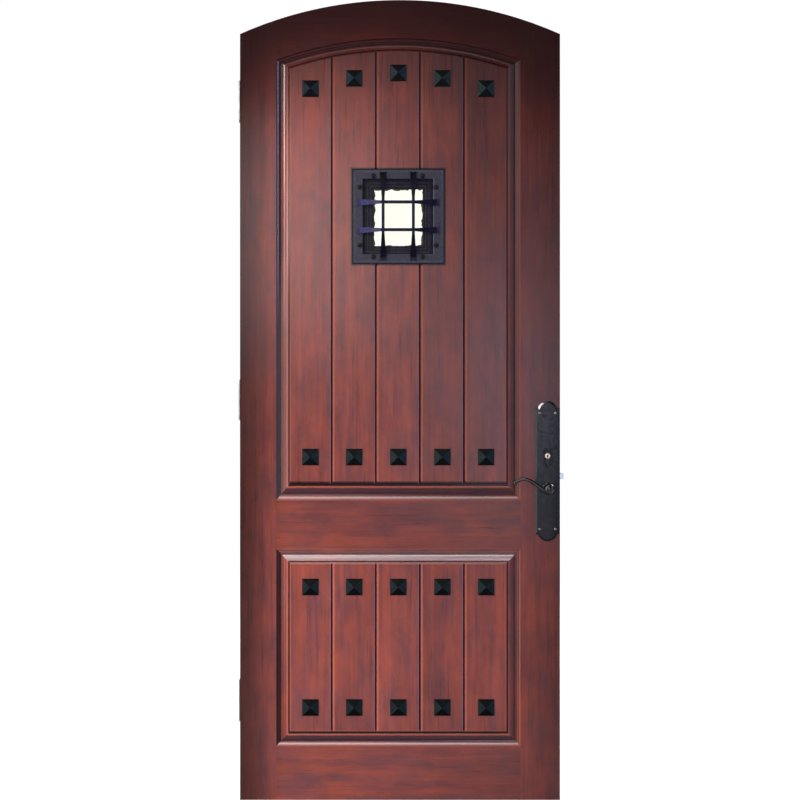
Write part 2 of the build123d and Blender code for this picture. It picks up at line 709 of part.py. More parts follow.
def plate_screw(x, z):
    """A plate's oval-head screw on the outside face, in the plate's own x and z."""
    place = (SPINDLE_X + x, -PLATE_FACE, PLATE_CENTRE_Z + z)
    head = domed_head(place[0], place[2], -PLATE_FACE, 3.6, 1.4)
    return head + rod("y", 1.9, place, PLATE_THICKNESS + 14)


def cylinder_profile(margin=0.0):
    tail = CYLINDER_TAIL_WIDTH / 2 + margin
    low = CYLINDER_TAIL_WIDTH / 2 - CYLINDER_TAIL
    shape = Circle(CYLINDER_RADIUS + margin)
    shape += Pos(0, low / 2) * Rectangle(2 * tail, -low)
    return shape + Pos(0, low) * Circle(tail)


def cylinder_block(half, margin=0.0):
    """The lock cylinder's outline, run through the leaf to the given half depth."""
    plane = Plane(origin=(SPINDLE_X, half, CYLINDER_Z), x_dir=(1, 0, 0), z_dir=(0, -1, 0))
    return extrude(plane * cylinder_profile(margin), 2 * half)


def handle_plate():
    plane = outside_plane()
    flat = PLATE_THICKNESS - PLATE_BEVEL
    plate = extrude(plane * plate_outline(), flat)
    plate += extrude(plane.offset(flat) * plate_outline(), PLATE_BEVEL, taper=PLATE_BEVEL_TAPER)
    drop = CYLINDER_Z - PLATE_CENTRE_Z - BOSS_DROP
    boss = Pos(0, drop) * Rectangle(*BOSS_SIZE)
    plate += extrude(plane.offset(flat) * boss, PLATE_BEVEL + BOSS_HEIGHT)
    plate -= cylinder_block(2 * FACE, 0.3)
    plate -= rod("y", LEVER_NECK_RADIUS + 0.5, (SPINDLE_X, -2 * FACE, SPINDLE_Z), 2 * FACE)
    return plate - [plate_screw(x, z) for x, z in plate_screw_places()]


def lever_arm():
    """The waved arm, drawn on the outside, as a loft through round sections."""
    y = -FACE - LEVER_PROJECTION
    sections = []
    for i, (reach, rise, radius) in enumerate(LEVER_STATIONS):
        before = LEVER_STATIONS[max(i - 1, 0)]
        after = LEVER_STATIONS[min(i + 1, len(LEVER_STATIONS) - 1)]
        along = Vector(before[0] - after[0], 0, after[1] - before[1]).normalized()
        centre = (SPINDLE_X - reach, y, SPINDLE_Z + rise)
        sections.append(Plane(origin=centre, x_dir=(0, 1, 0), z_dir=along) * Circle(radius))
    reach, rise, _ = LEVER_STATIONS[-1]
    tip = Pos(SPINDLE_X - reach - 1.0, y, SPINDLE_Z + rise - 0.8) * Sphere(LEVER_TIP_RADIUS)
    return loft(sections) + tip


def lever():
    """A lever handle on the outside: neck, bulbous hub and waved arm, bored for the spindle."""
    y = -FACE - LEVER_PROJECTION
    hub = LEVER_HUB_RADIUS
    neck = LEVER_NECK_RADIUS
    outer, inner = y - 0.8 * hub, y + 0.8 * hub
    foot = -PLATE_FACE - 0.5
    edges = [
        Line((0, outer), (0, 1.0 - PLATE_FACE)),
        Line((0, 1.0 - PLATE_FACE), (neck, 1.0 - PLATE_FACE)),
        Line((neck, 1.0 - PLATE_FACE), (neck, foot)),
        Line((neck, foot), (neck + 4, foot)),
        Line((neck + 4, foot), (neck + 4, foot - 2)),
        ThreePointArc((neck + 4, foot - 2), (neck + 1, foot - 4), (neck - 1, foot - 8)),
        Line((neck - 1, foot - 8), (neck - 1, inner)),
        ThreePointArc((neck - 1, inner), (hub, y + 1), (0, outer)),
    ]
    body = Pos(SPINDLE_X, 0, SPINDLE_Z) * revolve(make_face(edges), Axis.Y, 360)
    half = SPINDLE_SIZE / 2
    bore = block(
        (SPINDLE_X - half, SPINDLE_X + half),
        (y + 2, 0),
        (SPINDLE_Z - half, SPINDLE_Z + half),
    )
    return body + lever_arm() - bore


def spindle():
    """The square spindle with the lock's follower in its middle."""
    half = SPINDLE_SIZE / 2
    reach = FACE + LEVER_PROJECTION - 2
    bar = block((SPINDLE_X - half, SPINDLE_X + half), (-reach, reach), (SPINDLE_Z - half, SPINDLE_Z + half))
    wide = CASE_THICKNESS / 2 - 0.1
    return bar + rod("y", FOLLOWER_RADIUS, (SPINDLE_X, -wide, SPINDLE_Z), 2 * wide)


def case_box(margin=0.0):
    front = HALF_WIDTH - FACEPLATE_THICKNESS
    half = CASE_THICKNESS / 2 + margin
    return block((front - CASE_DEPTH - margin, front), (-half, half), (CASE_Z[0] - margin, CASE_Z[1] + margin))


def lock_case():
    shell = case_box() - block(
        (HALF_WIDTH - FACEPLATE_THICKNESS - CASE_DEPTH + CASE_WALL, HALF_WIDTH),
        (CASE_WALL - CASE_THICKNESS / 2, CASE_THICKNESS / 2 - CASE_WALL),
        (CASE_Z[0] + CASE_WALL, CASE_Z[1] - CASE_WALL),
    )
    shell -= rod("y", FOLLOWER_RADIUS + 0.1, (SPINDLE_X, -FACE, SPINDLE_Z), 2 * FACE)
    return shell - cylinder_block(FACE, 0.2)


def faceplate_blank():
    low, high = FACEPLATE_Z
    half = FACEPLATE_WIDTH / 2
    front = HALF_WIDTH - FACEPLATE_THICKNESS
    body = block((front, HALF_WIDTH), (-half, half), (low + half, high - half))
    ends = [rod("x", half, (front, 0, z), FACEPLATE_THICKNESS) for z in (low + half, high - half)]
    return body + ends


def faceplate_screw_levels():
    return (FACEPLATE_Z[0] + FACEPLATE_SCREW_MARGIN, FACEPLATE_Z[1] - FACEPLATE_SCREW_MARGIN)


def bolt_bar(size, z, back, front):
    half_y, half_z = size[0] / 2, size[1] / 2
    return block((back, front), (-half_y, half_y), (z - half_z, z + half_z))


def latch_bolt():
    """A sprung latch with its nose cut back towards the inside face."""
    front = HALF_WIDTH + LATCH_THROW
    body = bolt_bar(LATCH_SIZE, LATCH_Z, HALF_WIDTH - LATCH_BACK, front)
    half = LATCH_SIZE[0] / 2
    slope = ((HALF_WIDTH + 1, half), (front, half), (front, 2 - half))
    wedge = extrude(polygon(slope), LEAF_HEIGHT)
    return body - wedge


def dead_bolt():
    front = HALF_WIDTH - 0.2
    return bolt_bar(BOLT_SIZE, BOLT_Z, front - BOLT_LENGTH, front)


def lock_faceplate():
    gap = BOLT_SLIDE_CLEARANCE
    latch_hole = (LATCH_SIZE[0] + 2 * gap, LATCH_SIZE[1] + 2 * gap)
    bolt_hole = (BOLT_SIZE[0] + 2 * gap, BOLT_SIZE[1] + 2 * gap)
    plate = faceplate_blank()
    plate -= bolt_bar(latch_hole, LATCH_Z, SPINDLE_X, HALF_WIDTH + 1)
    plate -= bolt_bar(bolt_hole, BOLT_Z, SPINDLE_X, HALF_WIDTH + 1)
    return plate - [edge_screw(1, 0, z) for z in faceplate_screw_levels()]


def lock_cylinder():
    body = cylinder_block(CYLINDER_REACH)
    body -= rod("y", PLUG_RADIUS + PLUG_CLEARANCE, (SPINDLE_X, -2 * FACE, CYLINDER_Z), 4 * FACE)
    reach = CAM_NOSE + 1
    gap = CAM_HALF + 0.5
    slot = block((SPINDLE_X - reach, SPINDLE_X + reach), (-gap, gap), (CYLINDER_Z - PLUG_RADIUS, CYLINDER_Z + reach))
    return body - slot


def key_plug():
    front = -CYLINDER_REACH - 0.6
    plug = rod("y", PLUG_RADIUS, (SPINDLE_X, front, CYLINDER_Z), -front - CAM_HALF - 0.2)
    wide, tall, depth = KEYWAY
    way = block(
        (SPINDLE_X - wide / 2, SPINDLE_X + wide / 2),
        (front, front + depth),
        (CYLINDER_Z - tall / 2 - 1, CYLINDER_Z + tall / 2 - 1),
    )
    return plug - way


def thumb_turn():
    """The inside turn on its stem, with the cam that throws the bolt."""
    stem = rod("y", PLUG_RADIUS, (SPINDLE_X, -CAM_HALF, CYLINDER_Z), CYLINDER_REACH + 3 + CAM_HALF)
    nose = block(
        (SPINDLE_X - CAM_NOSE, SPINDLE_X),
        (-CAM_HALF, CAM_HALF),
        (CYLINDER_Z - 3, CYLINDER_Z + 3),
    )
    rose = rod("y", 12.5, (SPINDLE_X, CYLINDER_REACH + 0.5, CYLINDER_Z), 3)
    blade_low, blade_high = CYLINDER_REACH + 3, CYLINDER_REACH + 19
    blade = Plane(origin=(SPINDLE_X - 3.5, 0, CYLINDER_Z), x_dir=(0, 1, 0), z_dir=(1, 0, 0))
    outline = ((blade_low, -8), (blade_high - 5, -15), (blade_high, -10), (blade_high, 10), (blade_high - 5, 15), (blade_low, 8))
    return stem + nose + rose + extrude(blade * polygon(outline), 7)


# Hinges and wood screws


def edge_screw(side, y, z):
    """A countersunk screw driven into the leaf's edge; side is 1 on the lock edge."""
    head_depth = SCREW_HEAD_RADIUS - SCREW_RADIUS
    shank = rod("x", SCREW_RADIUS, (-SCREW_LENGTH, 0, 0), SCREW_LENGTH)
    head = Rot(0, 90, 0) * Cone(SCREW_RADIUS, SCREW_HEAD_RADIUS, head_depth)
    screw = shank + Pos(-head_depth / 2, 0, 0) * head
    if side < 0:
        screw = mirror(screw, about=Plane.YZ)
    return Pos(side * HALF_WIDTH, y, z) * screw


def hinge_screw_places(level):
    offsets = (HINGE_OUTER_HOLE, HINGE_INNER_HOLE)
    return [(y, level + up * z) for y, z in offsets for up in (-1, 1)]


def knuckle(level, index, radius, extra=0.0):
    pitch = HINGE_HEIGHT / HINGE_KNUCKLES
    low = level - HINGE_HEIGHT / 2 + index * pitch + HINGE_KNUCKLE_GAP / 2 - extra
    tall = pitch - HINGE_KNUCKLE_GAP + 2 * extra
    return rod("z", radius, (HINGE_X, HINGE_Y, low), tall)


def hinge_leaf(level, side):
    """One leaf of a butt hinge: side is 1 for the leaf let into the door, -1 for the jamb's."""
    half = HINGE_HEIGHT / 2
    x = sorted((HINGE_X + side * HINGE_GAP / 2, HINGE_X + side * (HINGE_GAP / 2 + HINGE_LEAF_THICKNESS)))
    leaf = block(x, (HINGE_BACKSET - FACE, HINGE_Y), (level - half, level + half))
    own = range(1, HINGE_KNUCKLES, 2) if side > 0 else range(0, HINGE_KNUCKLES, 2)
    other = [i for i in range(HINGE_KNUCKLES) if i not in own]
    swing = HINGE_BARREL_RADIUS + HINGE_SWING_CLEARANCE
    leaf -= [knuckle(level, i, swing, HINGE_KNUCKLE_GAP) for i in other]
    leaf += [knuckle(level, i, HINGE_BARREL_RADIUS) for i in own]
    bore = HINGE_PIN_RADIUS + HINGE_PIN_CLEARANCE
    return leaf - rod("z", bore, (HINGE_X, HINGE_Y, level - HINGE_HEIGHT), 2 * HINGE_HEIGHT)


def jamb_screw_hole(y, z):
    """A countersunk hole right through the jamb's leaf, for a screw that isn't fitted."""
    front = HINGE_X - HINGE_GAP / 2
    depth = SCREW_HEAD_RADIUS - SCREW_HOLE_RADIUS
    sink = Pos(front - depth / 2, y, z) * Rot(0, 90, 0) * Cone(SCREW_HOLE_RADIUS, SCREW_HEAD_RADIUS, depth)
    return sink + rod("x", SCREW_HOLE_RADIUS, (front - 2 * HINGE_LEAF_THICKNESS, y, z), 2 * HINGE_LEAF_THICKNESS)


def hinge_pin(level):
    low = level - HINGE_HEIGHT / 2
    pin = rod("z", HINGE_PIN_RADIUS, (HINGE_X, HINGE_Y, low), HINGE_HEIGHT)
    cap = rod("z", HINGE_BARREL_RADIUS - 0.8, (HINGE_X, HINGE_Y, low + HINGE_HEIGHT), 3)
    rim = cap.edges().filter_by(GeomType.CIRCLE).sort_by(Axis.Z)[-1]
    return pin + fillet(rim, 2)


# Assembly


def panel_side_pieces():
    """The frame, planks, mouldings, nail heads and hatch, moved to the panels' place in the leaf."""
    pieces = frame_pieces()
    nails = [square_nail(x, z) for x, z in nail_places()]
    shanks = [nail_shank(x, z) for x, z in nail_places()]
    rivet_shanks = [plate_rivet_shank(x, z) for x, z in plate_rivet_places()]
    for i, plank in enumerate(upper_planks()):
        pieces[f"upper_plank_{i + 1}"] = plank - shanks - rivet_shanks
    for i, plank in enumerate(lower_planks()):
        pieces[f"lower_plank_{i + 1}"] = plank - shanks
    pieces.update(mouldings())
    pieces["square_nails"] = Part() + nails

    pieces["grille_plate"] = grille_plate() - rivet_shanks
    pieces["grille_bar_left"] = upright_bar(-BAR_PITCH_X / 2)
    pieces["grille_bar_right"] = upright_bar(BAR_PITCH_X / 2)
    pieces["grille_bar_lower"] = cross_bar(HATCH_Z - BAR_PITCH_Z / 2)
    pieces["grille_bar_upper"] = cross_bar(HATCH_Z + BAR_PITCH_Z / 2)
    pieces["grille_rivets"] = Part() + plate_rivets() + crossing_rivets()
    pieces["hatch_back_frame"] = hatch_back_frame()
    pieces["sash_frame"] = sash_frame()
    pieces["sash_glass"] = sash_glass()
    pieces["sash_knob"] = sash_knob()
    pieces["sash_pins"] = Part() + sash_pins()
    return {name: Pos(PANEL_X, 0, 0) * piece for name, piece in pieces.items()}


def hinge_mortise(level):
    """The shallow seat of a hinge's leaf in the hinge stile."""
    x = (-HALF_WIDTH, HINGE_LEAF_THICKNESS - HALF_WIDTH)
    half = HINGE_HEIGHT / 2
    return block(x, (HINGE_BACKSET - FACE, FACE), (level - half, level + half))


def build_leaf():
    """Every piece of the leaf by name, each cut where a neighbour passes through it."""
    pieces = panel_side_pieces()
    hinge_screws = [edge_screw(-1, y, z) for level in HINGE_CENTRES for y, z in hinge_screw_places(level)]
    edge_screws = [edge_screw(1, 0, z) for z in faceplate_screw_levels()]
    front_screws = [plate_screw(x, z) for x, z in plate_screw_places()]
    back_screws = [mirror(screw, about=Plane.XZ) for screw in front_screws]
    pieces["hinge_stile"] -= [hinge_mortise(level) for level in HINGE_CENTRES] + hinge_screws
    pieces["lock_stile"] -= [
        case_box(),
        faceplate_blank(),
        *edge_screws,
        rod("y", FOLLOWER_RADIUS + 1.5, (SPINDLE_X, -FACE, SPINDLE_Z), 2 * FACE),
        cylinder_block(FACE, 0.5),
        *front_screws,
        *back_screws,
    ]

    pieces["outside_plate"] = handle_plate()
    pieces["inside_plate"] = mirror(handle_plate(), about=Plane.XZ)
    pieces["outside_lever"] = lever()
    pieces["inside_lever"] = mirror(lever(), about=Plane.XZ)
    pieces["plate_screws"] = Part() + front_screws + back_screws
    pieces["spindle"] = spindle()
    pieces["lock_case"] = lock_case()
    pieces["lock_faceplate"] = lock_faceplate()
    pieces["latch_bolt"] = latch_bolt()
    pieces["dead_bolt"] = dead_bolt()
    pieces["lock_cylinder"] = lock_cylinder()
    pieces["key_plug"] = key_plug()
    pieces["thumb_turn"] = thumb_turn()

    holes = [jamb_screw_hole(y, z) for level in HINGE_CENTRES for y, z in hinge_screw_places(level)]
    door_leaves = [hinge_leaf(level, 1) - hinge_screws for level in HINGE_CENTRES]
    jamb_leaves = [hinge_leaf(level, -1) - holes for level in HINGE_CENTRES]
    pieces["hinge_door_leaves"] = Part() + door_leaves
    pieces["hinge_jamb_leaves"] = Part() + jamb_leaves
    pieces["hinge_pins"] = Part() + [hinge_pin(level) for level in HINGE_CENTRES]
    pieces["edge_screws"] = Part() + hinge_screws + edge_screws
    return pieces


os.makedirs("parts", exist_ok=True)
for name, piece in build_leaf().items():
    export_step(piece, f"parts/{name}.step")
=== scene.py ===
from math import radians
from random import Random
import bmesh
import bpy
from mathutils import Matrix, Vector


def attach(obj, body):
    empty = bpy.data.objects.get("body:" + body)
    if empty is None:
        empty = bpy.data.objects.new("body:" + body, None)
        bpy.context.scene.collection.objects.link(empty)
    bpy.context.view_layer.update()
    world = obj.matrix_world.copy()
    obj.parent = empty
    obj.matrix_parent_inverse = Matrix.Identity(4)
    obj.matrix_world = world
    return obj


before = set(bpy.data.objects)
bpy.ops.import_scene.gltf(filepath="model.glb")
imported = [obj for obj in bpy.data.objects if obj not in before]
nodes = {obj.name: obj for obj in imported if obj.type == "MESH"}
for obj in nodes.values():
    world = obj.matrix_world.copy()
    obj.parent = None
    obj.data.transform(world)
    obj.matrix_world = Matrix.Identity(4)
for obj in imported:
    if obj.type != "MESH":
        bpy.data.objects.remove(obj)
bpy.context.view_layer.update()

# Sizes of the leaf in metres, the same as in the solids
HEIGHT = 2.286
FRONT_Y = -0.0222
PANEL_X = -0.005
OPEN_HALF = 0.349
FIELD_HALF = 0.310
SIDE_MOULDING = 0.039
UPPER_SILL = 0.0475
UPPER_HEAD = 0.035
LOWER_SILL = 0.041
LOWER_HEAD = 0.042
LOCK_RAIL_TOP = 0.8565
LOCK_RAIL_BOTTOM = 0.718
BOTTOM_RAIL_TOP = 0.154
UPPER_FIELD = (LOCK_RAIL_TOP + UPPER_SILL, 2.142)
LOWER_FIELD = (BOTTOM_RAIL_TOP + LOWER_SILL, LOCK_RAIL_BOTTOM - LOWER_HEAD)
ARCH_RADIUS = 1.12597
ARCH_CENTRE_Z = HEIGHT - ARCH_RADIUS
INNER_RADIUS = ARCH_RADIUS - 0.109
PLANK_PITCH = 0.126
HATCH_Z = 1.6675
PLATE_HALF = (0.132, 0.136)
SIGHT_HALF = (0.071, 0.0825)
RIVETS = ((0.070, 0.116), (0.109, 0.083))
SPINDLE_X = 0.4212
KEY_Z = 0.9835
BOSS_Z = 0.978
BOSS_HALF = (0.01075, 0.026)
PLATE_RIGHT_X = SPINDLE_X + 0.036
# Where a painted highlight sits on the long plate's upper left bevel
GLINT_AT = (SPINDLE_X - 0.0175, 1.1245)

# Rounding of the meshes, in degrees and steps
SMOOTH_ANGLE = 35.0
SOFTEN_ANGLE = 32.0
SOFTEN_STEPS = 2

# Colours of the stain and the glaze, of worn edges, and of painted shade, painted highlights and a painted
# blue reflection
RED_STAIN = (0.312, 0.064, 0.042)
BROWN_STAIN = (0.181, 0.051, 0.051)
# The glaze darkens the grain and, with the dusky glaze, also paints shade: in hollows, on faces turned from
# the light, at the planks' feet and over the darker parts of the leaf
GLAZE_AND_SHADE = (0.010, 0.0030, 0.0030)
DUSK_GLAZE_AND_SHADE = (0.022, 0.008, 0.014)
# Orange worn edges, which are also a painted highlight where an edge faces the light
WEAR_AND_HIGHLIGHT = (0.42, 0.105, 0.062)
# A painted highlight on faces turned up to the light
PALE_HIGHLIGHT = (0.44, 0.37, 0.36)
# A painted reflection of a blue light, on faces turned to the right
BLUE_REFLECTION = (0.20, 0.19, 0.30)
BLACK = (0.0, 0.0, 0.0)
STAIN_LEVEL = 0.72

# How light the wood is along the leaf, partly from the stain and partly from painted shade: from and to in
# metres, and the share of it at each
HINGE_EDGE_TONE = (-0.457, -0.31, 0.16, 1.0)
LOCK_EDGE_TONE = (0.30, 0.457, 1.0, 0.48)
ACROSS_TONE = (-0.28, 0.22, 0.0, 1.0)
ACROSS_DEPTH = (0.43, 1.84, 0.24, 0.64)
UPPER_TONE = (0.50, 1.15, 1.0, 0.68)
ARCH_TONE = (1.86, 2.29, 1.0, 0.02)
ARCH_BEND = 0.444

# Lines beside the V between two planks, worn edges with a painted highlight, painted shade and a painted blue
# reflection: centre, half and soft edge in metres, amount and colour
V_WEAR_AND_HIGHLIGHT = (0.0045, 0.0012, 0.0020, 0.75, WEAR_AND_HIGHLIGHT)
V_SHADE = (-0.0022, 0.0022, 0.0016, 0.85, GLAZE_AND_SHADE)
V_BLUE_REFLECTION = (-0.0050, 0.0005, 0.0010, 0.45, BLUE_REFLECTION)

# Where these fade, in metres: lines past the outer V, wear at the border, painted shadow at the planks' feet
# and the hatch's halo
V_ENDS = (0.20, 0.23)
BORDER = (0.0045, 0.0015)
FOOT_SHADOW = (0.0045, 0.0075)
HALO = (0.0015, 0.0060)
HALO_AMOUNT = 0.92
FOOT_SHADOW_AMOUNT = 0.92

# Bands along a moulding: centre, half and soft edge as shares of its width, amount and colour. Besides worn
# edges and glaze, the bands paint shade in the hollows and on faces turned from the light, highlights on
# faces turned to it, and a blue reflection on faces turned to the right
ARRIS = (0.01, 0.02, 0.04, 0.75, WEAR_AND_HIGHLIGHT)
LEFT_BANDS = (
    (0.18, 0.16, 0.05, 0.85, GLAZE_AND_SHADE),
    (0.03, 0.012, 0.02, 0.12, BLUE_REFLECTION),
    (0.50, 0.02, 0.03, 0.40, GLAZE_AND_SHADE),
    (0.80, 0.04, 0.03, 0.60, WEAR_AND_HIGHLIGHT),
    (0.93, 0.02, 0.03, 0.60, GLAZE_AND_SHADE),
)
RIGHT_BANDS = (
    (0.03, 0.03, 0.04, 0.75, WEAR_AND_HIGHLIGHT),
    (0.30, 0.04, 0.06, 0.60, GLAZE_AND_SHADE),
    (0.60, 0.14, 0.08, 0.40, DUSK_GLAZE_AND_SHADE),
    (0.94, 0.03, 0.03, 0.80, GLAZE_AND_SHADE),
)
HEAD_BANDS = (
    (0.03, 0.03, 0.03, 0.85, GLAZE_AND_SHADE),
    (0.34, 0.11, 0.05, 0.92, GLAZE_AND_SHADE),
    (0.93, 0.02, 0.03, 0.60, GLAZE_AND_SHADE),
)
SILL_BANDS = (
    ARRIS,
    (0.14, 0.05, 0.03, 0.50, PALE_HIGHLIGHT),
    (0.50, 0.18, 0.06, 0.82, DUSK_GLAZE_AND_SHADE),
    (0.80, 0.02, 0.03, 0.50, WEAR_AND_HIGHLIGHT),
    (0.94, 0.07, 0.03, 0.92, GLAZE_AND_SHADE),
)
RAIL_BANDS = (
    ARRIS,
    (0.36, 0.04, 0.08, 0.70, GLAZE_AND_SHADE),
    (0.64, 0.15, 0.05, 0.40, PALE_HIGHLIGHT),
    (0.89, 0.03, 0.02, 0.90, GLAZE_AND_SHADE),
    (0.98, 0.015, 0.02, 0.80, PALE_HIGHLIGHT),
)

# Added roughness: the height where all of it holds, the height where it ends, and the amount
STILE_ROUGHER = (2.10, 1.80, -0.11)
LEFT_ROUGHER = (1.25, 1.60, 0.40)
# Both heights are over the arch, so all of a moulding is rougher
ALL_ROUGHER = (3.00, 3.10, 0.30)

# Painted light and shade on a metal's facets, by which way each faces: to the left, straight ahead and to the
# right
TEAL = ((0.0080, 0.0140, 0.0165), (0.0040, 0.0055, 0.0062), (0.0062, 0.0115, 0.0135))
VIOLET = ((0.050, 0.048, 0.105), (0.012, 0.010, 0.024), (0.004, 0.003, 0.008))
SLATE = ((0.060, 0.058, 0.090), (0.0135, 0.0120, 0.0215), (0.006, 0.005, 0.010))
DUSK = ((0.018, 0.015, 0.030), (0.0060, 0.0045, 0.0100), (0.004, 0.003, 0.006))
BRONZE_FACETS = ((0.006, 0.005, 0.005), (0.0155, 0.0130, 0.0160), (0.002, 0.0015, 0.002))
NICKEL = (0.50, 0.44, 0.38)
# Near black: painted shade at the bars' upper ends and round the rivets, and the plate's black rim
NEAR_BLACK = (0.001, 0.001, 0.002)
# Lighter lines on the sash steps and the plate, partly worn and partly painted highlights
STEP_LINE = (0.045, 0.038, 0.070)
RIM_LINE = (0.040, 0.038, 0.062)
# A painted blue highlight on the bars' left ends
BLUE_HIGHLIGHT = (0.030, 0.028, 0.085)
# A painted highlight on the long plate's bevel
PAINTED_GLINT = (0.66, 0.64, 0.60)

# Refraction of the iron, low so that it stays dark at a slant
BLACK_INDEX = 1.2
SASH_INDEX = 1.25

# Putty round the pane, in metres
PUTTY_FRONT = 0.0165
PUTTY_THICKNESS = 0.0016
PUTTY_STEP = 0.0022
PUTTY_START = 0.003
PUTTY_REACH = (0.0012, 0.0058)
PUTTY_WANDER = 0.0016
PUTTY_LIP = 0.0003
PUTTY_SEED = 7

# Camera, in metres and millimetres
CAMERA_DISTANCE = 5.5
SENSOR_WIDTH = 36.0


class Graph:
    """A material's nodes, built with short calls."""

    def __init__(self, name):
        self.material = bpy.data.materials.new(name)
        self.material.use_nodes = True
        self.tree = self.material.node_tree
        self.tree.nodes.clear()
        self.shader = self.add("ShaderNodeBsdfPrincipled")
        out = self.add("ShaderNodeOutputMaterial")
        self.tree.links.new(self.shader.outputs[0], out.inputs["Surface"])
        self.place = self.add("ShaderNodeTexCoord").outputs["Object"]

    def add(self, kind, **props):
        node = self.tree.nodes.new(kind)
        for key, value in props.items():
            setattr(node, key, value)
        return node

    def put(self, socket, value):
        if isinstance(value, bpy.types.NodeSocket):
            self.tree.links.new(value, socket)
        elif isinstance(value, (tuple, list)) and socket.type == "RGBA" and len(value) == 3:
            socket.default_value = (*value, 1.0)
        else:
            socket.default_value = value

    def math(self, operation, a, b=0.0):
        node = self.add("ShaderNodeMath", operation=operation)
        self.put(node.inputs[0], a)
        self.put(node.inputs[1], b)
        return node.outputs[0]

    def times(self, a, b):
        return self.math("MULTIPLY", a, b)

    def minus(self, a, b):
        return self.math("SUBTRACT", a, b)

    def absolute(self, value):
        return self.math("ABSOLUTE", value)

    def length(self, a, b):
        return self.math("SQRT", self.math("ADD", self.times(a, a), self.times(b, b)))

    def span(self, value, low, high, start=0.0, end=1.0, smooth=True):
        """Value, from low to high, mapped to start to end and held there."""
        node = self.add("ShaderNodeMapRange", interpolation_type="SMOOTHSTEP" if smooth else "LINEAR")
        for socket, item in zip(node.inputs, (value, low, high, start, end)):
            self.put(socket, item)
        return node.outputs[0]

    def band(self, value, centre, half, soft):
        """One at the centre and zero past half plus soft."""
        away = self.absolute(self.minus(value, centre))
        return self.span(away, half, half + soft, 1.0, 0.0)

    def mix(self, factor, a, b):
        node = self.add("ShaderNodeMix", data_type="RGBA")
        self.put(node.inputs[0], factor)
        self.put(node.inputs[6], a)
        self.put(node.inputs[7], b)
        return node.outputs[2]

    def axes(self, vector=None):
        node = self.add("ShaderNodeSeparateXYZ")
        self.put(node.inputs[0], vector or self.place)
        return node.outputs

    def facing(self):
        """Which way a facet faces, by its own axes, so that it stays when the body moves."""
        return self.axes(self.add("ShaderNodeTexCoord").outputs["Normal"])

    def vector(self, operation, a, b):
        node = self.add("ShaderNodeVectorMath", operation=operation)
        self.put(node.inputs[0], a)
        self.put(node.inputs[1], b)
        return node.outputs[0]

    def noise(self, vector, scale, detail=4.0, rough=0.55, distort=0.0):
        node = self.add("ShaderNodeTexNoise")
        self.put(node.inputs["Vector"], vector)
        self.put(node.inputs["Scale"], scale)
        self.put(node.inputs["Detail"], detail)
        self.put(node.inputs["Roughness"], rough)
        self.put(node.inputs["Distortion"], distort)
        return node.outputs[0]

    def ragged(self, scale, amount):
        """A small uneven shift, for lines that aren't quite straight."""
        return self.times(self.minus(self.noise(self.place, scale, 3.0), 0.5), amount)

    def bump(self, height, distance, strength):
        node = self.add("ShaderNodeBump")
        self.put(node.inputs["Strength"], strength)
        self.put(node.inputs["Distance"], distance)
        self.put(node.inputs["Height"], height)
        return node.outputs[0]

    def finish(self, **values):
        for key, value in values.items():
            self.put(self.shader.inputs[key.replace("_", " ")], value)
        return self.material


# Distances on the leaf
def panel_x(g):
    return g.minus(g.axes()[0], PANEL_X)


def from_side(g):
    return g.minus(OPEN_HALF, g.absolute(panel_x(g)))


def from_level(level, sign):
    def distance(g):
        return g.times(g.minus(g.axes()[2], level), sign)

    return distance


def from_arch(g):
    rise = g.minus(g.axes()[2], ARCH_CENTRE_Z)
    return g.minus(INNER_RADIUS, g.length(panel_x(g), rise))


def from_hatch(g, half):
    """How far a point lies outside a rectangle about the hatch."""
    across = g.minus(g.absolute(panel_x(g)), half[0])
    along = g.minus(g.absolute(g.minus(g.axes()[2], HATCH_Z)), half[1])
    return g.math("MAXIMUM", across, along)


def from_point(g, x, z, mirrored=False):
    """The distance in x and z from a point, or from the nearest of its four mirror images about the hatch."""
    across, _, along = g.axes()
    if mirrored:
        across = g.absolute(panel_x(g))
        along = g.absolute(g.minus(along, HATCH_Z))
    return g.length(g.minus(across, x), g.minus(along, z))


# Wood
def stain_and_shade(g):
    """How light the wood is over the whole leaf, partly stain and partly painted shade: dark at the arch, the
    outer edges and the lock side.
    """
    x, _, z = g.axes()
    edges = g.times(g.span(x, *HINGE_EDGE_TONE), g.span(x, *LOCK_EDGE_TONE))
    darker = g.times(g.span(x, *ACROSS_TONE, smooth=False), g.span(z, *ACROSS_DEPTH, smooth=False))
    body = g.times(g.minus(1.0, darker), g.span(z, *UPPER_TONE))
    height = g.math("ADD", z, g.times(g.times(x, x), ARCH_BEND))
    return g.times(g.times(edges, body), g.span(height, *ARCH_TONE))


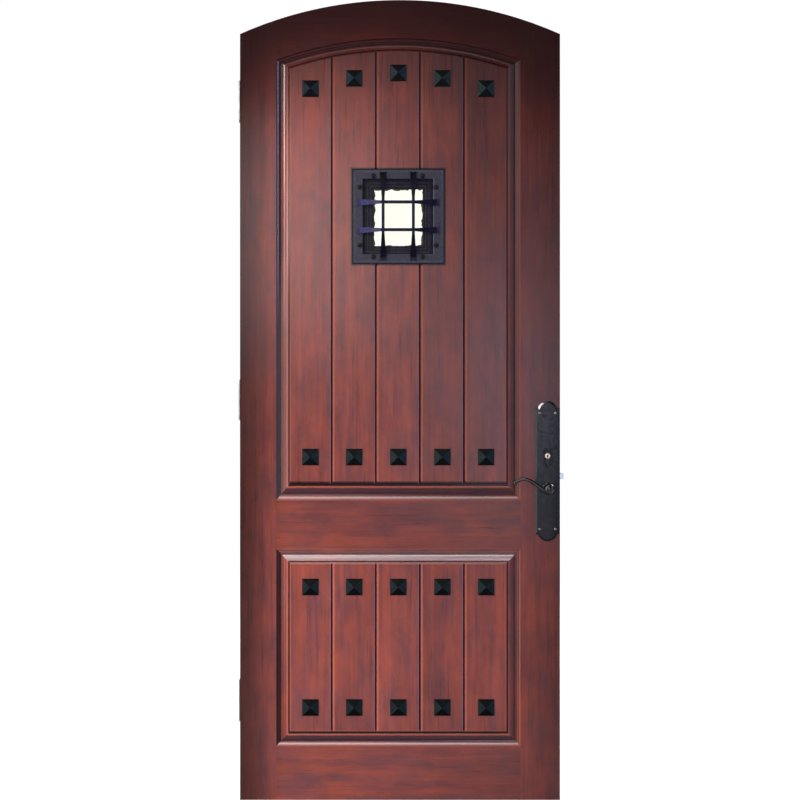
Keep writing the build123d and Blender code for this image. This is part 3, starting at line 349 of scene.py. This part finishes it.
def wood(name, grain, seed, edge=None, lift=1.0, rough=0.30, specular=0.22, rougher=None):
    """Stained and varnished wood with its grain along x or z, and its own edge lines and added roughness."""
    g = Graph(name)
    shift = (seed * 1.37 % 5.0, seed * 2.11 % 5.0, seed * 3.07 % 5.0)
    moved = g.vector("ADD", g.place, shift)

    def stretched(amount):
        return g.vector("MULTIPLY", moved, (1.0, 1.0, amount) if grain == "z" else (amount, 1.0, 1.0))

    figure = g.noise(stretched(0.09), 22.0, 4.0, 0.55, 0.9)
    streak = g.noise(stretched(0.035), 150.0, 4.0, 0.6, 0.2)
    pores = g.noise(stretched(0.02), 620.0, 2.0, 0.5)
    mottle = g.noise(stretched(0.5), 26.0, 5.0, 0.62, 0.5)
    patch = g.noise(stretched(0.4), 4.2, 3.0, 0.55, 0.3)
    level = g.span(figure, 0.3, 0.7, 0.93, 1.06, smooth=False)
    for layer, low, high in ((streak, 0.90, 1.08), (mottle, 0.88, 1.10), (patch, 0.83, 1.13)):
        level = g.times(level, g.span(layer, 0.3, 0.7, low, high, smooth=False))
    level = g.times(level, lift * STAIN_LEVEL)
    blotches = g.noise(stretched(0.6), 16.0, 4.0, 0.65, 0.4)
    hue = g.math("ADD", blotches, g.noise(stretched(0.06), 55.0, 3.0))
    stain = g.mix(g.span(hue, 0.80, 1.20, smooth=False), BROWN_STAIN, RED_STAIN)
    colour = g.mix(level, BLACK, stain)
    colour = g.mix(g.span(pores, 0.55, 0.75, 0.0, 0.12), colour, GLAZE_AND_SHADE)
    if edge is not None:
        colour = edge(g, colour)
    # Painted shade with the stain: the leaf darkens toward the arch, the outer edges and the lock side
    colour = g.mix(g.minus(1.0, stain_and_shade(g)), colour, GLAZE_AND_SHADE)
    height = g.math("ADD", g.times(streak, 0.6), g.times(pores, -0.4))
    normal = g.bump(height, 0.0004, 0.35)
    gloss = g.span(streak, 0.3, 0.7, rough - 0.03, rough + 0.03)
    if rougher is not None:
        whole, ended, amount = rougher
        gloss = g.math("ADD", gloss, g.span(g.axes()[2], whole, ended, amount, 0.0))
    return g.finish(Base_Color=colour, Roughness=gloss, Normal=normal, Specular_IOR_Level=specular)


def moulding_wear_and_light(distance, width, bands):
    """The stain, worn edges, glaze, painted shade, painted highlights and a painted blue reflection across a
    moulding, in bands along it.
    """

    def paint(g, colour):
        u = g.math("ADD", g.math("DIVIDE", distance(g), width), g.ragged(90.0, 0.05))
        for centre, half, soft, amount, shade in bands:
            colour = g.mix(g.times(g.band(u, centre, half, soft), amount), colour, shade)
        return colour

    return paint


def plank_edges(field, foot_shadow):
    """Painted highlight on worn edges, painted shade and a painted blue reflection at each V, a worn border,
    painted shadow at the feet and a halo round the hatch.
    """

    def paint(g, colour):
        x = panel_x(g)
        z = g.axes()[2]
        place = g.math("DIVIDE", g.minus(x, PLANK_PITCH / 2), PLANK_PITCH)
        past = g.times(g.minus(place, g.math("ROUND", place)), PLANK_PITCH)
        inner = g.span(g.absolute(x), *V_ENDS, 1.0, 0.0)
        ragged = g.ragged(120.0, 0.003)
        past = g.math("ADD", past, ragged)

        def line(under, centre, half, soft, amount, shade):
            share = g.times(g.band(past, centre, half, soft), inner)
            return g.mix(g.times(share, amount), under, shade)

        # Painted highlight with worn edges on the flank facing the light, then painted shade on the flank
        # turned from it
        colour = line(colour, *V_WEAR_AND_HIGHLIGHT)
        colour = line(colour, *V_SHADE)
        side = g.span(g.absolute(x), FIELD_HALF - BORDER[0], FIELD_HALF - BORDER[1])
        low = g.span(z, field[0] + BORDER[1], field[0] + BORDER[0], 1.0, 0.0)
        high = g.span(z, field[1] - BORDER[0], field[1] - BORDER[1])
        border = g.math("MAXIMUM", side, g.math("MAXIMUM", low, high))
        colour = g.mix(g.times(border, 0.5), colour, WEAR_AND_HIGHLIGHT)
        # Painted shadow at the planks' feet, where they meet the sill
        colour = g.mix(g.span(z, field[0] + FOOT_SHADOW[0], field[0] + FOOT_SHADOW[1], foot_shadow, 0.0), colour, GLAZE_AND_SHADE)
        # A painted reflection of a blue light beside the shaded flank
        colour = line(colour, *V_BLUE_REFLECTION)
        outside = g.math("ADD", from_hatch(g, PLATE_HALF), ragged)
        return g.mix(g.span(outside, *HALO, HALO_AMOUNT, 0.0), colour, GLAZE_AND_SHADE)

    return paint


# Metal and putty
def clouded(name, base, tint, rough, bump_scale, bump_depth, metallic, specular=0.5):
    """One shade clouded with another, with a fine grain."""
    g = Graph(name)
    cloud = g.noise(g.place, 60.0, 4.0, 0.6)
    grain = g.noise(g.place, bump_scale, 4.0, 0.6)
    colour = g.mix(g.span(cloud, 0.35, 0.7), base, tint)
    normal = g.bump(grain, bump_depth, 0.6)
    roughness = g.span(cloud, 0.3, 0.7, rough * 0.85, rough * 1.15)
    return g.finish(Base_Color=colour, Metallic=metallic, Roughness=roughness, Normal=normal,
                    Specular_IOR_Level=specular)


def forged(name, beside, above, rough, specular, hammered=0.0006, tint=None, index=1.5):
    """Hammered metal with painted light and shade on its facets, by which way they face: left, ahead, right,
    and above or below.
    """
    g = Graph(name)
    cloud = g.noise(g.place, 120.0, 4.0, 0.6)
    hammer = g.noise(g.place, 260.0, 3.0, 0.5)
    facing = g.facing()
    left = g.span(facing[0], -0.35, -0.15, 1.0, 0.0)
    right = g.span(facing[0], 0.15, 0.35)
    upright = g.span(g.absolute(facing[2]), 0.15, 0.35)
    colour = g.mix(left, beside[1], beside[0])
    colour = g.mix(right, colour, beside[2])
    colour = g.mix(upright, colour, above)
    if tint is not None:
        colour = tint(g, colour)
    colour = g.mix(g.span(cloud, 0.3, 0.7, 0.0, 0.45), colour, BLACK)
    normal = g.bump(hammer, hammered, 0.5)
    gloss = g.span(cloud, 0.3, 0.7, rough * 0.85, rough * 1.15)
    return g.finish(Base_Color=colour, Roughness=gloss, Normal=normal, Specular_IOR_Level=specular, IOR=index)


def bar_ends(g, colour):
    """A painted blue highlight at the left ends of the bars and painted shade at their upper ends."""
    z = g.axes()[2]
    colour = g.mix(g.span(panel_x(g), -0.105, -0.075, 0.75, 0.0), colour, BLUE_HIGHLIGHT)
    return g.mix(g.span(z, HATCH_Z + 0.085, HATCH_Z + 0.115, 0.0, 0.9), colour, NEAR_BLACK)


def sash_steps(g, colour):
    """Lighter lines along the steps round the pane, partly worn edges and partly painted highlights."""
    past = from_hatch(g, SIGHT_HALF)
    for step in (0.008, 0.017):
        colour = g.mix(g.times(g.band(past, step, 0.0006, 0.0008), 0.6), colour, STEP_LINE)
    return colour


def plate_wear_and_shade(g, colour):
    """A black rim, a lighter line inside it, partly worn and partly a painted highlight, and painted shade
    round the rivets.
    """
    past = from_hatch(g, PLATE_HALF)
    colour = g.mix(g.times(g.band(past, -0.0070, 0.0012, 0.0015), 0.35), colour, RIM_LINE)
    colour = g.mix(g.span(past, -0.0050, -0.0030, 0.0, 0.85), colour, NEAR_BLACK)
    # Painted shade round the rivets
    for x, z in RIVETS:
        colour = g.mix(g.span(from_point(g, x, z, True), 0.0075, 0.0100, 0.85, 0.0), colour, NEAR_BLACK)
    return colour


def bronze_shade_glint_and_boss(g, colour):
    """Painted shade on the long plate's right side, a painted highlight on its upper left and the cylinder's
    gritty boss.
    """
    x, _, z = g.axes()
    across = g.minus(g.absolute(g.minus(x, SPINDLE_X)), BOSS_HALF[0])
    along = g.minus(g.absolute(g.minus(z, BOSS_Z)), BOSS_HALF[1])
    on_boss = g.span(g.math("MAXIMUM", across, along), -0.0005, 0.0005, 1.0, 0.0)
    grit = g.span(g.noise(g.place, 420.0, 2.0), 0.55, 0.68)
    boss = g.mix(grit, (0.0015, 0.0012, 0.0015), (0.040, 0.036, 0.040))
    # Painted shade: the plate darkens toward its right side
    colour = g.mix(g.span(x, SPINDLE_X, PLATE_RIGHT_X, 0.0, 0.85), colour, (0.002, 0.0015, 0.002))
    # A painted highlight on the upper left bevel
    glint_mask = g.span(from_point(g, *GLINT_AT), 0.007, 0.013, 1.0, 0.0)
    glint_mask = g.times(glint_mask, g.span(g.facing()[0], -0.20, -0.08, 1.0, 0.0))
    colour = g.mix(glint_mask, colour, PAINTED_GLINT)
    return g.mix(on_boss, colour, boss)


def keyhole(g, colour):
    """Painted shade at the mouth of the keyway."""
    mouth = g.span(from_point(g, SPINDLE_X, KEY_Z), 0.0022, 0.0034, 1.0, 0.0)
    return g.mix(mouth, colour, (0.02, 0.015, 0.01))


# Dressing of the nodes
def dress(node, material):
    obj = nodes[node]
    obj.data.materials.clear()
    obj.data.materials.append(material)


def smooth(node):
    mesh = nodes[node].data
    mesh.polygons.foreach_set("use_smooth", [True] * len(mesh.polygons))
    mesh.set_sharp_from_angle(angle=radians(SMOOTH_ANGLE))


def soften(node, width):
    """A small round on a piece's sharp edges."""
    bevel = nodes[node].modifiers.new("soft_edges", "BEVEL")
    bevel.width = width
    bevel.segments = SOFTEN_STEPS
    bevel.limit_method = "ANGLE"
    bevel.angle_limit = radians(SOFTEN_ANGLE)
    bevel.harden_normals = True


# Stiles, rails and planks
for seed, node in enumerate(("hinge_stile", "lock_stile"), start=3):
    dress(node, wood(f"wood_{node}", "z", seed, specular=0.17, rougher=STILE_ROUGHER))
# Each rail: its seed, lift, roughness and specular level
rails = {
    "top_rail": (8, 1.0, 0.19, 0.13),
    "lock_rail": (9, 0.84, 0.30, 0.22),
    "bottom_rail": (10, 0.93, 0.30, 0.22),
}
for node, (seed, lift, rough, specular) in rails.items():
    dress(node, wood(f"wood_{node}", "x", seed, lift=lift, rough=rough, specular=specular))
for i in range(1, 6):
    for level, field, foot_shadow in (("upper", UPPER_FIELD, FOOT_SHADOW_AMOUNT), ("lower", LOWER_FIELD, 0.0)):
        node = f"{level}_plank_{i}"
        lift = 1.0 + 0.05 * ((i * 7 + 5 + field[0]) % 3 - 1)
        dress(node, wood(f"wood_{node}", "z", 20 + i * 2 + field[0], plank_edges(field, foot_shadow), lift))
        soften(node, 0.0010)

# Each moulding: how far in a point lies, its width, grain, bands, specular level and added roughness
over_lock_rail = from_level(LOCK_RAIL_TOP, 1.0)
under_lock_rail = from_level(LOCK_RAIL_BOTTOM, -1.0)
over_bottom_rail = from_level(BOTTOM_RAIL_TOP, 1.0)
mouldings = {
    "upper_left": (from_side, SIDE_MOULDING, "z", LEFT_BANDS, 0.42, LEFT_ROUGHER),
    "upper_right": (from_side, SIDE_MOULDING, "z", RIGHT_BANDS, 0.20, ALL_ROUGHER),
    "upper_sill": (over_lock_rail, UPPER_SILL, "x", SILL_BANDS, 0.16, None),
    "upper_head": (from_arch, UPPER_HEAD, "x", HEAD_BANDS, 0.05, None),
    "lower_left": (from_side, SIDE_MOULDING, "z", LEFT_BANDS, 0.10, None),
    "lower_right": (from_side, SIDE_MOULDING, "z", RIGHT_BANDS, 0.18, ALL_ROUGHER),
    "lower_sill": (over_bottom_rail, LOWER_SILL, "x", SILL_BANDS, 0.26, None),
    "lower_head": (under_lock_rail, LOWER_HEAD, "x", RAIL_BANDS, 0.50, None),
}
for name, (distance, width, grain, bands, specular, rougher) in mouldings.items():
    # Each moulding's bands paint worn edges, glaze, painted shade and painted highlights
    wear_and_light = moulding_wear_and_light(distance, width, bands)
    seed = 51 if name.endswith("right") else 50
    material = wood(f"wood_moulding_{name}", grain, seed, wear_and_light, 0.95, 0.25, specular, rougher)
    for face in ("outside", "inside"):
        node = f"{face}_moulding_{name}"
        dress(node, material)
        smooth(node)

# Ironwork
# The forged metals paint light and shade on their facets by which way they face
nail_iron = forged("forged_black_iron", TEAL, (0.0012, 0.0015, 0.0015), 0.50, 0.2, index=BLACK_INDEX)
bar_iron = forged("grille_bar_iron", VIOLET, (0.004, 0.003, 0.007), 0.34, 0.08,
                  tint=bar_ends, index=BLACK_INDEX)
plate_iron = forged("grille_plate_iron", SLATE, (0.040, 0.038, 0.060), 0.42, 0.18, tint=plate_wear_and_shade)
sash_iron = forged("sash_iron", DUSK, (0.008, 0.006, 0.012), 0.34, 0.3, tint=sash_steps, index=SASH_INDEX)
bronze = forged("dark_bronze", BRONZE_FACETS, (0.004, 0.0035, 0.004), 0.28, 0.10, 0.00002, bronze_shade_glint_and_boss)
nickel = forged("cylinder_nickel", (NICKEL, NICKEL, NICKEL), NICKEL, 0.40, 0.3, 0.00002, keyhole)
rivet_iron = clouded("rivet_iron", (0.0012, 0.0010, 0.002), (0.003, 0.002, 0.005),
                     0.30, 260.0, 0.0003, 0.0, 0.12)
lever_bronze = clouded("lever_bronze", (0.004, 0.0035, 0.0035), (0.006, 0.005, 0.005),
                       0.11, 900.0, 0.00003, 0.0, 0.35)
steel = clouded("lock_steel", (0.40, 0.40, 0.41), (0.52, 0.52, 0.53), 0.34, 500.0, 0.0001, 1.0)
brass = clouded("screw_brass", (0.12, 0.085, 0.06), (0.20, 0.14, 0.10), 0.40, 500.0, 0.0001, 1.0)
black_brass = clouded("cylinder_black", (0.010, 0.009, 0.010), (0.014, 0.013, 0.014),
                      0.45, 500.0, 0.0001, 0.0, 0.2)
bars = [f"grille_bar_{side}" for side in ("left", "right", "upper", "lower")]
metals = (
    (plate_iron, ("grille_plate",)),
    (sash_iron, ("hatch_back_frame", "sash_frame", "sash_pins", "sash_knob")),
    (rivet_iron, ("grille_rivets",)),
    (bar_iron, bars),
    (nail_iron, ("square_nails",)),
    (bronze, ("outside_plate", "inside_plate")),
    (lever_bronze, ("outside_lever", "inside_lever", "thumb_turn")),
    (nickel, ("key_plug",)),
    (steel, ("spindle", "lock_case", "latch_bolt", "dead_bolt", "lock_faceplate")),
    (steel, ("hinge_door_leaves", "hinge_jamb_leaves", "hinge_pins", "edge_screws")),
    (brass, ("plate_screws",)),
    (black_brass, ("lock_cylinder",)),
)
for metal, dressed in metals:
    for node in dressed:
        dress(node, metal)
rounded = (
    "outside_lever", "inside_lever", "thumb_turn", "grille_rivets", "sash_knob", "sash_pins", "plate_screws",
    "hinge_pins", "hinge_door_leaves", "hinge_jamb_leaves", "lock_cylinder", "key_plug", "hatch_back_frame",
    "sash_frame", "spindle", "outside_plate", "inside_plate",
)
for node in rounded:
    smooth(node)
edge_rounds = {
    "square_nails": 0.0006,
    "grille_plate": 0.0016,
    "sash_frame": 0.0010,
    "outside_plate": 0.0008,
    "inside_plate": 0.0008,
}
for node, width in edge_rounds.items():
    soften(node, width)
for node in bars:
    soften(node, 0.0014)

# Glass
glass = Graph("hatch_glass")
ripple = glass.bump(glass.noise(glass.place, 40.0, 2.0), 0.0004, 0.3)
glass.finish(Base_Color=(0.975, 1.0, 0.87), Roughness=0.03, Normal=ripple, Transmission_Weight=1.0, IOR=1.45)
dress("sash_glass", glass.material)


def putty_ring(half_x, half_z):
    """A ragged bead of putty on the pane, inside the sash's sight edge."""
    draw = Random(PUTTY_SEED)
    corners = [(-half_x, -half_z), (half_x, -half_z), (half_x, half_z), (-half_x, half_z)]
    front = PUTTY_FRONT
    bm = bmesh.new()
    rows = []
    for (x0, z0), (x1, z1) in zip(corners, corners[1:] + corners[:1]):
        steps = round(max(abs(x1 - x0), abs(z1 - z0)) / PUTTY_STEP)
        reach = PUTTY_START
        for k in range(steps):
            t = k / steps
            reach += draw.uniform(-PUTTY_WANDER, PUTTY_WANDER)
            reach = min(max(reach, PUTTY_REACH[0]), PUTTY_REACH[1])
            x = x0 + (x1 - x0) * t
            z = z0 + (z1 - z0) * t
            inner_x = max(min(x, half_x - reach), reach - half_x)
            inner_z = max(min(z, half_z - reach), reach - half_z)
            places = (
                (x, front, z),
                (x, front - PUTTY_THICKNESS, z),
                ((x + inner_x) / 2, front - PUTTY_THICKNESS * 0.8, (z + inner_z) / 2),
                (inner_x, front - PUTTY_LIP, inner_z),
                (inner_x, front, inner_z),
            )
            rows.append([bm.verts.new((PANEL_X + px, py, HATCH_Z + pz)) for px, py, pz in places])
    for a, b in zip(rows, rows[1:] + rows[:1]):
        for j in range(5):
            bm.faces.new((a[j], a[(j + 1) % 5], b[(j + 1) % 5], b[j]))
    bmesh.ops.recalc_face_normals(bm, faces=bm.faces)
    mesh = bpy.data.meshes.new("sash_putty")
    bm.to_mesh(mesh)
    bm.free()
    piece = bpy.data.objects.new("sash_putty", mesh)
    bpy.context.scene.collection.objects.link(piece)
    return piece


putty = putty_ring(*SIGHT_HALF)
old_putty = clouded("old_putty", (0.016, 0.012, 0.012), (0.05, 0.04, 0.035), 0.7, 400.0, 0.0006, 0.0, 0.2)
putty.data.materials.append(old_putty)
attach(putty, "sash")

# Floor
ground = Graph("pale_floor")
path = ground.add("ShaderNodeLightPath")
shade = ground.mix(ground.noise(ground.place, 3.0, 2.0), (0.80, 0.80, 0.80), (0.84, 0.84, 0.84))
across, along, _ = ground.axes()
bright = ground.span(ground.length(across, along), 1.2, 3.5, 0.75, 1.02)
glow = ground.times(path.outputs["Is Camera Ray"], bright)
ground.finish(Base_Color=shade, Roughness=0.9, Emission_Color=(1.0, 1.0, 1.0), Emission_Strength=glow)
bpy.ops.mesh.primitive_plane_add(size=60.0, location=(0.0, 0.0, -0.0005))
floor = bpy.context.object
floor.name = "floor"
floor.data.materials.append(ground.material)

# World, white to the camera and behind the pane, and dim to everything else
world = bpy.data.worlds.new("studio")
bpy.context.scene.world = world
world.use_nodes = True
tree = world.node_tree
back = tree.nodes["Background"]
seen = tree.nodes.new("ShaderNodeLightPath")
back.inputs["Color"].default_value = (1.0, 1.0, 1.0, 1.0)
strength = None
for ray, value in (("Is Camera Ray", 0.96), ("Is Transmission Ray", 1.02)):
    share = tree.nodes.new("ShaderNodeMath")
    share.operation = "MULTIPLY_ADD"
    tree.links.new(seen.outputs[ray], share.inputs[0])
    share.inputs[1].default_value = value
    share.inputs[2].default_value = 0.06
    if strength is not None:
        tree.links.new(strength, share.inputs[2])
    strength = share.outputs[0]
tree.links.new(strength, back.inputs["Strength"])


def softbox(name, place, target, size, watts, colour=(1.0, 1.0, 1.0)):
    light = bpy.data.lights.new(name, "AREA")
    light.shape = "RECTANGLE"
    light.size, light.size_y = size
    light.energy = watts
    light.color = colour
    obj = bpy.data.objects.new(name, light)
    obj.location = place
    obj.rotation_euler = (Vector(target) - Vector(place)).to_track_quat("-Z", "Y").to_euler()
    obj.visible_camera = False
    bpy.context.scene.collection.objects.link(obj)


# Each light: its place, what it points at, its size, its watts and its colour where it isn't white
softbox("key", (-2.6, -2.6, 0.9), (0.0, 0.0, 0.8), (1.8, 1.8), 105.0)
softbox("overhead", (-0.2, -2.0, 3.6), (-0.1, 0.0, 0.8), (2.2, 0.5), 65.0)
softbox("left", (-1.9, -1.7, 2.30), (-0.3, 0.0, 1.95), (0.4, 0.7), 30.0)
softbox("sheen", (-0.38, -1.8, 1.76), (-0.30, 0.0, 1.60), (0.55, 0.70), 10.0)
softbox("haze", (0.54, -3.0, 1.20), (0.36, 0.0, 1.18), (0.5, 1.0), 15.0, (0.68, 0.80, 1.0))
softbox("right", (3.0, -0.9, 1.7), (0.2, 0.0, 1.3), (0.4, 2.6), 70.0, (0.45, 0.60, 1.0))
softbox("behind", (2.6, 4.2, 3.0), (0.0, 0.0, 1.2), (2.2, 2.2), 190.0)
softbox("behind_low", (-2.8, 4.0, 1.4), (0.0, 0.0, 1.0), (1.6, 1.6), 50.0)

# Camera
camera = bpy.data.cameras.new("camera")
camera.sensor_width = SENSOR_WIDTH
camera.lens = SENSOR_WIDTH * CAMERA_DISTANCE / HEIGHT
camera.clip_end = 200.0
eye = bpy.data.objects.new("camera", camera)
bpy.context.scene.collection.objects.link(eye)
eye.location = (0.0, FRONT_Y - CAMERA_DISTANCE, HEIGHT / 2)
eye.rotation_euler = (radians(90), 0.0, 0.0)
bpy.context.scene.camera = eye
bpy.context.scene.view_settings.view_transform = "Standard"
